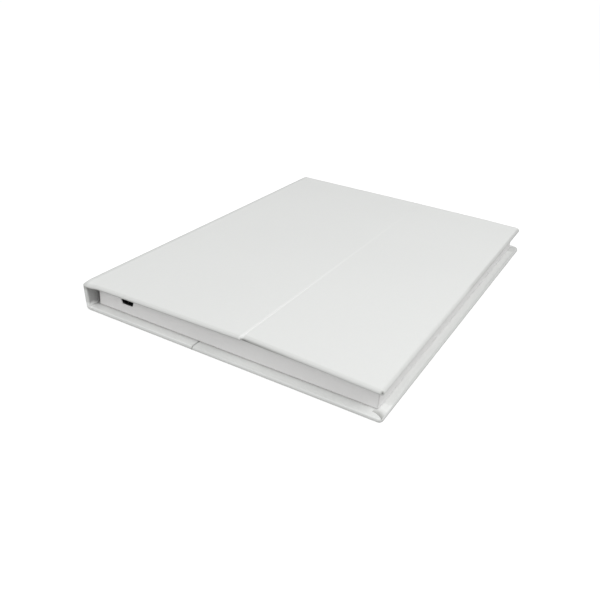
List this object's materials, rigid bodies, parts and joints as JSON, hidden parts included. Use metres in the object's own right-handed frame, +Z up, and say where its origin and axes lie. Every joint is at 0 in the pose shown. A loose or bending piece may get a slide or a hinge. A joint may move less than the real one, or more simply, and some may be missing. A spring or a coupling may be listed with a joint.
{
  "type": "video brochure",
  "caption": "Closed hardcover video brochure with hinged front cover, folding flap, fold-out back leg and a flat screen block with a charging socket.",
  "frame": {"origin": "under the middle of the closed cover, on the surface it rests on", "axes": "+X from the spine to the fore edge, +Y from tail to head along the spine, +Z up through the thickness"},
  "size_m": [0.158, 0.22, 0.0152],
  "materials": {
    "wrap_paper": "matt laminated white paper",
    "lining_paper": "uncoated white paper",
    "greyboard": "compressed grey board",
    "white_card": "white card",
    "tape": "double-sided tape",
    "magnet": "nickel-plated magnet",
    "steel": "zinc-plated steel",
    "lcd_glass": "dark screen glass",
    "light_guide": "white light guide",
    "clear_sheet": "clear acrylic",
    "foam": "dark foam",
    "cell_foil": "pouch foil",
    "lead": "insulated lead",
    "circuit_board": "green solder resist",
    "chip": "moulded chip",
    "connector": "ivory nylon",
    "contact_plastic": "black nylon",
    "ribbon": "flat ribbon cable",
    "button": "white button cap",
    "speaker_cone": "black paper cone"
  },
  "bodies": {
    "block": {"back_panel_board": "greyboard", "back_panel_wrap": "wrap_paper", "back_panel_lining": "lining_paper", "block_tape": "tape", "block_wrap": "wrap_paper", "face_card": "white_card", "base_card": "white_card", "spine_side_wall": "greyboard", "fore_edge_wall": "greyboard", "head_wall": "greyboard", "tail_wall": "greyboard", "flap_catch_plates": "steel", "leg_catch_plates": "steel", "lcd_tray": "steel", "lcd_backlight": "light_guide", "lcd_glass": "lcd_glass", "screen_lens": "clear_sheet", "lcd_pads": "foam", "battery_cell": "cell_foil", "battery_leads": "lead", "driver_board": "circuit_board", "board_risers": "greyboard", "board_chips": "chip", "board_connectors": "connector", "usb_shell": "steel", "usb_tongue": "contact_plastic", "screen_ribbon": "ribbon", "button_board": "circuit_board", "button_ribbon": "ribbon", "switch_bodies": "contact_plastic", "speaker_frame": "steel", "speaker_magnet": "magnet", "speaker_cone": "speaker_cone", "speaker_leads": "lead"},
    "back_leg": {"back_leg_board": "greyboard", "back_leg_wrap": "wrap_paper", "back_leg_lining": "lining_paper", "leg_magnets": "magnet", "back_crease_fold": "wrap_paper"},
    "spine": {"spine_board": "greyboard", "spine_wrap": "wrap_paper", "spine_lining": "lining_paper", "lower_spine_fold": "wrap_paper", "upper_spine_fold": "wrap_paper"},
    "front_panel": {"front_panel_board": "greyboard", "front_panel_wrap": "wrap_paper", "front_panel_lining": "lining_paper", "trigger_magnet": "magnet"},
    "front_flap": {"front_flap_board": "greyboard", "front_flap_wrap": "wrap_paper", "front_flap_lining": "lining_paper", "flap_magnets": "magnet", "front_crease_fold": "wrap_paper"},
    "volume_up_button": {"volume_up_button": "button"},
    "next_button": {"next_button": "button"},
    "play_button": {"play_button": "button"},
    "previous_button": {"previous_button": "button"},
    "volume_down_button": {"volume_down_button": "button"}
  },
  "joints": [
    {"name": "leg_fold", "type": "hinge", "parent": "block", "child": "back_leg", "pos_m": [-0.014, 0, 0], "axis": [0, 1, 0], "range_deg": [0, 75], "deforming": ["back_crease_fold"]},
    {"name": "spine_lower_fold", "type": "hinge", "parent": "block", "child": "spine", "pos_m": [-0.0782, 0, 0.0008], "axis": [0, -1, 0], "range_deg": [0, 135], "deforming": ["lower_spine_fold"]},
    {"name": "spine_upper_fold", "type": "hinge", "parent": "spine", "child": "front_panel", "pos_m": [-0.0782, 0, 0.0142], "axis": [0, -1, 0], "range_deg": [0, 165], "deforming": ["upper_spine_fold"]},
    {"name": "flap_fold", "type": "hinge", "parent": "front_panel", "child": "front_flap", "pos_m": [0.011, 0, 0.01525], "axis": [0, -1, 0], "range_deg": [0, 175], "deforming": ["front_crease_fold"]},
    {"name": "volume_up_button_travel", "type": "slide", "parent": "block", "child": "volume_up_button", "axis": [0, 0, -1], "range_m": [0, 0.0004], "stiffness_N_per_m": 400},
    {"name": "next_button_travel", "type": "slide", "parent": "block", "child": "next_button", "axis": [0, 0, -1], "range_m": [0, 0.0004], "stiffness_N_per_m": 400},
    {"name": "play_button_travel", "type": "slide", "parent": "block", "child": "play_button", "axis": [0, 0, -1], "range_m": [0, 0.0004], "stiffness_N_per_m": 400},
    {"name": "previous_button_travel", "type": "slide", "parent": "block", "child": "previous_button", "axis": [0, 0, -1], "range_m": [0, 0.0004], "stiffness_N_per_m": 400},
    {"name": "volume_down_button_travel", "type": "slide", "parent": "block", "child": "volume_down_button", "axis": [0, 0, -1], "range_m": [0, 0.0004], "stiffness_N_per_m": 400}
  ]
}
